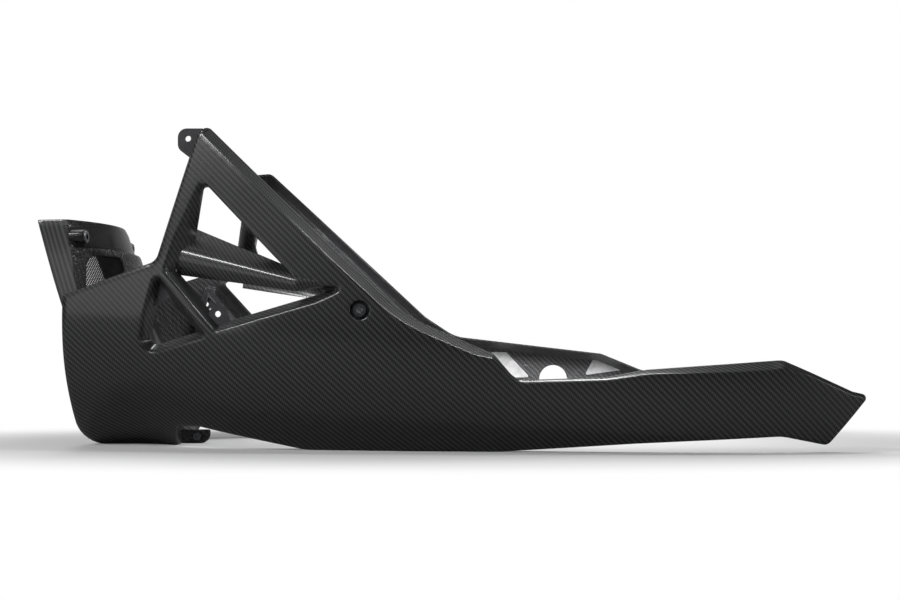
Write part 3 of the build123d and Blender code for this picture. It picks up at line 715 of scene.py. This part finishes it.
def cover():
    """Trough open to the front, with a pocket and a window in each of its cheeks; a bare edge runs
    round them all, bevelled along the top. Its cloth is laid at 45 degrees. Finish 1 is the strip
    that lies flush with the panels, within the cover's set and the bevel's fall near the top, and
    finish 2 the pocket, behind a line that leans with the cover."""
    edge = ((-COVER_HALF, COVER_FOOT, 6), (-COVER_HALF, COVER_TOP, 3),
            (COVER_HALF, COVER_TOP, 3), (COVER_HALF, COVER_FOOT, 6))
    window = np.array(WINDOW, float)
    other = (window * (-1, 1, 1))[::-1]
    rings = [rim_rows(edge, [BARE, BEVEL, BARE, BARE], -1)]
    rings += [rim_rows(corners, [BARE] * 4, 1) for corners in (window, other)]

    def face(flat, depth):
        return polar(-flat[:, 0], flat[:, 1], depth)

    def slant(flat):
        return np.stack((flat[:, 0] - flat[:, 1], flat[:, 0] + flat[:, 1]), 1) / math.sqrt(2)
    points, triangles, cloth, _ = shell(rings, face, face, slant, COVER_STEP)
    triangles = outward(points, triangles)
    x, y, z = points[triangles].mean(1).T
    flush = skin(x, z) - np.abs(y) < FLUSH + np.clip(FLUSH_SLOPE * (z - FLUSH_BEVEL_Z), 0, FLUSH_MORE)
    above = z - (POCKET_TOP + POCKET_FOOT) / 2
    reach = (POCKET_TOP - POCKET_FOOT) / 2 - POCKET_BORDER
    pocket = (np.abs(above) < reach) & (x > POCKET_LINE - COVER_LEAN * above)
    return points, triangles, cloth, np.where(flush, 1, np.where(pocket, 2, 0))


def turned(profile, count=40):
    """Profile of (distance along, radius) turned about the X axis into a closed ring."""
    table = np.array(profile, float)
    turn = np.linspace(0, 2 * np.pi, count, endpoint=False)
    along = np.repeat(table[:, :1], count, 1)
    points = np.stack((along, table[:, 1:] * np.cos(turn), table[:, 1:] * np.sin(turn)), -1).reshape(-1, 3)
    index = np.arange(len(points)).reshape(len(table), count)
    faces = strips(np.concatenate((index, index[:1])), False)
    cloth = np.stack((along.ravel(), np.tile(turn * CLOTH_RADIUS, len(table))), 1)
    return points, outward(points, faces), cloth, np.zeros(len(faces), int)


def boss(side):
    """Bored boss on the cover's shoulder, flared where it leaves the wall."""
    points, faces, cloth, finish = turned(BOSS)
    return points + (0, side * BOSS_Y, BOSS_Z), faces, cloth, finish


def wires(side):
    """Woven grille over one window: two sets of wires at 45 degrees on the pocket's inside, each a
    square rod with closed ends, one set a wire's depth behind the other."""
    left, right = GRILLE_ROUND
    low, high = GRILLE_HEIGHT
    tall = high - low
    rise = np.linspace(0, 1, WIRE_POINTS)
    corners = np.array(((-1, -1), (1, -1), (1, 1), (-1, 1))) * WIRE_HALF
    sets = []
    for lean, depth in WIRE_SETS:
        at = np.arange(left - tall, right + tall, WIRE_PITCH * DIAGONAL)
        start = at - lean * tall / 2
        ends = np.stack((low + (left - start) / lean, low + (right - start) / lean), 1)
        ends = np.clip(np.sort(ends, 1), low, high)
        long = ends[:, 1] - ends[:, 0] > SHORTEST_WIRE
        foot, top = ends[long, :1], ends[long, 1:]
        z = foot + (top - foot) * rise
        s = start[long][:, None] + lean * (z - low)
        rows = []
        for shift, deep in corners:
            place = polar(side * (s + DIAGONAL * shift).ravel(), z.ravel(), depth + deep)
            rows.append(place.reshape(s.shape + (3,)))
        points = np.stack(rows, 2)
        number = np.arange(points[..., 0].size).reshape(points.shape[:3])
        a, b = number[:, :-1], number[:, 1:]
        quads = np.stack((a, np.roll(a, -1, 2), np.roll(b, -1, 2), b), -1).reshape(-1, 4)
        quads = np.concatenate((quads, number[:, 0, ::-1], number[:, -1]))
        faces = np.concatenate((quads[:, (0, 1, 2)], quads[:, (0, 2, 3)]))
        points = points.reshape(-1, 3)
        sets.append((points, outward(points, faces), np.zeros((len(points), 2)), np.zeros(len(faces), int)))
    return joined(*sets)


def mirrored(shape):
    """The same shape on the other side of the middle plane, with its faces still outwards."""
    points, triangles, cloth, finish = shape
    return points * (1, -1, 1), triangles[:, ::-1], cloth, finish


PANEL_FINISHES = (CARBON_SATIN, CARBON_RAW, CARBON_ROUGH)
left_shell = panel(LEFT_HEAD, LEFT_BACK, LEFT_OPENING, LEFT_SILL, [])
right_shell = panel(RIGHT_HEAD, RIGHT_BACK, RIGHT_OPENING, NO_SILL, [round_rows(*CUT_OUT, BARE)])
left = piece("left_panel", *joined(left_shell, vane(LEFT_VANE_X), keel()), PANEL_FINISHES)
right = piece("right_panel", *mirrored(joined(right_shell, vane(RIGHT_VANE_X), keel())), PANEL_FINISHES)
front = piece("cover", *joined(cover(), boss(-1), boss(1)), (CARBON_GLOSS, CARBON_SATIN, CARBON_ROUGH))
left_grille = piece("left_grille", *wires(-1), (WIRE_BLACK,), sharp=30)
right_grille = piece("right_grille", *wires(1), (WIRE_BLACK,), sharp=30)
SHOWN = ((left, "carbon_twill_matt", ("left_side_panel", "left_keel_flange")),
         (right, "carbon_twill_matt", ("right_side_panel", "right_keel_flange")),
         (front, "carbon_twill_matt", ("front_cover", "left_cover_boss", "right_cover_boss")),
         (left_grille, "black_wire_mesh", ("left_cover_mesh",)),
         (right_grille, "black_wire_mesh", ("right_cover_mesh",)))
for made, slot, names in SHOWN:
    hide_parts(*names)
DRESS = {"bracket": CARBON_PLATE, "grommet": RUBBER, "sleeve": ZINC, "screws": ZINC, "nuts": ZINC,
         "foil": FOIL}
for name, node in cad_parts.items():
    for word, material in DRESS.items():
        if name.endswith(word):
            node.data.materials.clear()
            node.data.materials.append(material)

# Studio: pale floor that whitens away from the pan, white surround for the camera, and soft lamps

FLOOR_HALF = 6.0               # metres, as the rest of the studio is
SHADE_ZONE = (0.17, 0.36)      # distances from the pan's middle where the floor starts to whiten, and ends
SHADE_LENGTH = 0.4             # X counts this much in them, so the zone is about as long as the pan
SHADE_WHITE = 0.12             # share of white inside the zone
SURROUND = (0.05, 0.42)        # its light on the pan, from the camera's side and from behind
OVERHEAD = 0.1                 # share of that light from high up

scene = bpy.context.scene
scene.view_settings.view_transform = "Standard"

floor_mesh = bpy.data.meshes.new("studio_floor")
floor_corners = [(x * FLOOR_HALF, y * FLOOR_HALF, 0) for x, y in ((-1, -1), (1, -1), (1, 1), (-1, 1))]
floor_mesh.from_pydata(floor_corners, [], [(0, 1, 2, 3)])
floor = bpy.data.objects.new("studio_floor", floor_mesh)
scene.collection.objects.link(floor)
paper, paper_out = blank("white_paper_sweep")
seen = add(paper, "ShaderNodeLightPath").outputs["Is Camera Ray"]
matt = add(paper, "ShaderNodeBsdfDiffuse", {"Color": colour("#f4f4f4")}).outputs[0]
dim = add(paper, "ShaderNodeBsdfDiffuse", {"Color": colour("#a2a2a2")}).outputs[0]
glow = add(paper, "ShaderNodeEmission", {"Color": (1, 1, 1, 1), "Strength": 1.0}).outputs[0]
where = add(paper, "ShaderNodeTexCoord").outputs["Object"]
squeezed = add(paper, "ShaderNodeVectorMath", {0: where, 1: (SHADE_LENGTH, 1, 1)},
               operation="MULTIPLY").outputs[0]
away = add(paper, "ShaderNodeVectorMath", {0: squeezed}, operation="LENGTH").outputs["Value"]
# Painted shade: the floor glows white only away from the pan and keeps its lamp-lit grey near it, so round
# the pan it stays grey also where no shadow falls
fade = add(paper, "ShaderNodeMapRange",
           {0: away, 1: SHADE_ZONE[0], 2: SHADE_ZONE[1], 3: SHADE_WHITE, 4: 1.0},
           interpolation_type="SMOOTHSTEP").outputs[0]
bright = add(paper, "ShaderNodeMixShader", {0: fade, 1: matt, 2: glow}).outputs[0]
lit = add(paper, "ShaderNodeMixShader", {0: seen, 1: dim, 2: bright}).outputs[0]
paper.node_tree.links.new(lit, paper_out.inputs[0])
floor_mesh.materials.append(paper)

world = bpy.data.worlds.new("studio")
scene.world = world
world.use_nodes = True
world.node_tree.nodes.clear()
sees = add(world, "ShaderNodeLightPath").outputs["Is Camera Ray"]
heading = add(world, "ShaderNodeSeparateXYZ", {0: add(world, "ShaderNodeTexCoord").outputs["Generated"]})
behind = add(world, "ShaderNodeMapRange",
             {0: heading.outputs[1], 1: 0.1, 2: 0.6, 3: SURROUND[0], 4: SURROUND[1]},
             interpolation_type="SMOOTHSTEP").outputs[0]
low = add(world, "ShaderNodeMapRange", {0: heading.outputs[2], 1: 0.25, 2: 0.6, 3: 1.0, 4: OVERHEAD},
          interpolation_type="SMOOTHSTEP").outputs[0]
wall = add(world, "ShaderNodeMath", {0: behind, 1: low}, operation="MULTIPLY").outputs[0]
strength = add(world, "ShaderNodeMath", {0: sees, 1: wall}, operation="MAXIMUM").outputs[0]
surround = add(world, "ShaderNodeBackground", {"Color": (1, 1, 1, 1), "Strength": strength}).outputs[0]
add(world, "ShaderNodeOutputWorld", {0: surround})


def softbox(name, place, aim, size, power):
    """Rectangular soft light at a place in metres, facing a point."""
    lamp = bpy.data.lights.new(name, "AREA")
    lamp.shape = "RECTANGLE"
    lamp.size, lamp.size_y = size
    lamp.energy = power
    made = bpy.data.objects.new(name, lamp)
    made.location = place
    made.rotation_euler = (Vector(aim) - Vector(place)).to_track_quat("-Z", "Y").to_euler()
    scene.collection.objects.link(made)


# Narrow lamps stand where the edges that shine mirror them to the camera: the key for the vane's
# ridge and the lips of the openings, one strip for the saddle's sill; the other lights the far wall
softbox("overhead", (-0.7, 0.45, 1.7), (0.0, 0.0, 0.0), (0.9, 0.3), 6)
softbox("saddle_strip", (0.19, -0.17, 0.8), (0.19, 0.1, 0.08), (0.27, 0.06), 1.7)
softbox("far_wall_strip", (0.12, 0.03, 0.27), (0.12, 0.155, 0.09), (0.5, 0.05), 0.7)
softbox("key", (-1.15, -1.02, 1.3), (-0.2, -0.1, 0.15), (0.8, 0.16), 10.5)
softbox("front_left", (-1.6, -1.6, 0.3), (-0.35, 0.0, 0.1), (0.9, 0.9), 2.2)
softbox("front_right", (1.9, -1.2, 0.5), (0.4, 0.0, 0.05), (0.9, 0.9), 5)

# Camera square to the left side, with its focal length and its shift in pixels of the picture
PICTURE_WIDTH = 900
FOCAL = 1168
SHIFT = 50
EYE = (0.062, -1.363, 0.1086)  # metres
view = bpy.data.cameras.new("view")
view.sensor_width = 36.0
view.lens = view.sensor_width * FOCAL / PICTURE_WIDTH
view.shift_x, view.shift_y = -SHIFT / PICTURE_WIDTH, SHIFT / PICTURE_WIDTH
eye = bpy.data.objects.new("view", view)
eye.location = EYE
eye.rotation_euler = (math.pi / 2, 0, 0)
scene.collection.objects.link(eye)
scene.camera = eye
